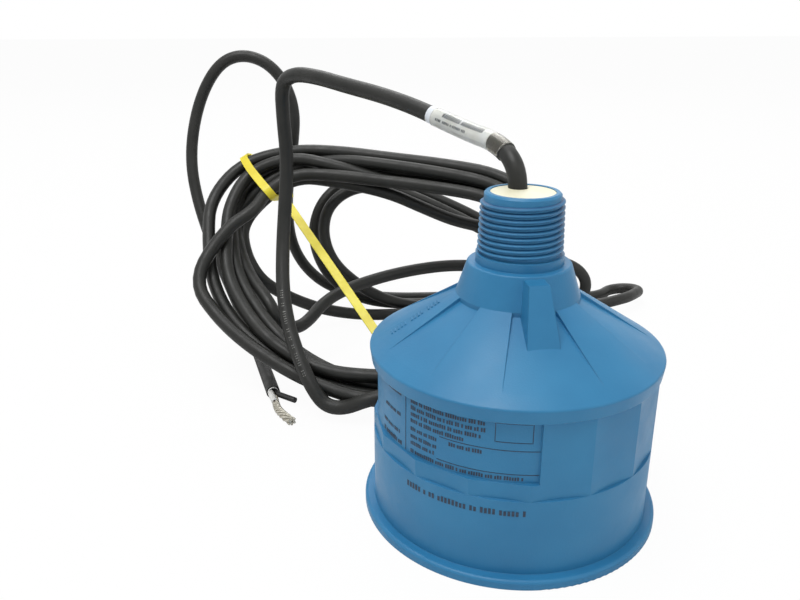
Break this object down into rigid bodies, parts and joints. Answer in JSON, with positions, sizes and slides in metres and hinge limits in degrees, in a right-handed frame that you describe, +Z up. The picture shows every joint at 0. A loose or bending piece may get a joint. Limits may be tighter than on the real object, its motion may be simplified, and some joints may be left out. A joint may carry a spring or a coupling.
{
  "type": "ultrasonic level transducer",
  "caption": "Sealed drum-shaped ultrasonic level sensing head with a conical lid, a tapered threaded neck potted round its cable, and the cable coiled and tied behind it.",
  "frame": {"origin": "centre of the radiating face, which is the bottom of the drum", "axes": "+Z up along the axis of the drum towards the neck; the two lugs lie on the Y axis, and the cable lies behind the drum at +Y"},
  "size_m": [0.3117, 0.3152, 0.1689],
  "materials": {
    "blue_moulding": "blue moulded fluoropolymer blend with a soft satin sheen",
    "cream_resin": "cast cream resin, flat top",
    "matching_layer": "light filled resin layer",
    "aluminium": "turned aluminium",
    "piezo_ceramic": "fired ceramic with silvered faces",
    "electrode_brass": "thin rolled brass",
    "steel": "turned steel",
    "white_insulation": "white wire insulation",
    "black_insulation": "black wire insulation",
    "damping_foam": "dark closed-cell foam",
    "sensor_bead": "dipped resin bead",
    "cable_jacket": "black cable jacket with a soft sheen",
    "label_film": "bluish white printed wrap",
    "clear_sleeve": "clear shrink sleeve",
    "yellow_nylon": "yellow nylon",
    "tinned_braid": "twisted tinned copper braid"
  },
  "bodies": {
    "root": {"drum_housing": "blue_moulding", "cone_cover": "blue_moulding", "potting_fill": "cream_resin", "matching_disc": "matching_layer", "head_mass": "aluminium", "lower_piezo_ring": "piezo_ceramic", "upper_piezo_ring": "piezo_ceramic", "centre_electrode": "electrode_brass", "ground_electrode": "electrode_brass", "tail_mass": "steel", "clamp_bolt": "steel", "bolt_washer": "steel", "bolt_sleeve": "white_insulation", "foam_liner": "damping_foam", "foam_pad": "damping_foam", "temperature_sensor": "sensor_bead", "white_lead": "white_insulation", "black_lead": "black_insulation", "sensor_lead": "black_insulation", "cable_lead": "cable_jacket", "cable_coil": "cable_jacket", "cable_inner_turn": "cable_jacket", "cable_back_turns": "cable_jacket", "cable_end_run": "cable_jacket", "marker_label": "label_film", "marker_sleeve": "clear_sleeve", "cable_tie": "yellow_nylon", "white_core": "white_insulation", "black_core": "black_insulation", "shield_pigtail": "tinned_braid"}
  },
  "joints": []
}
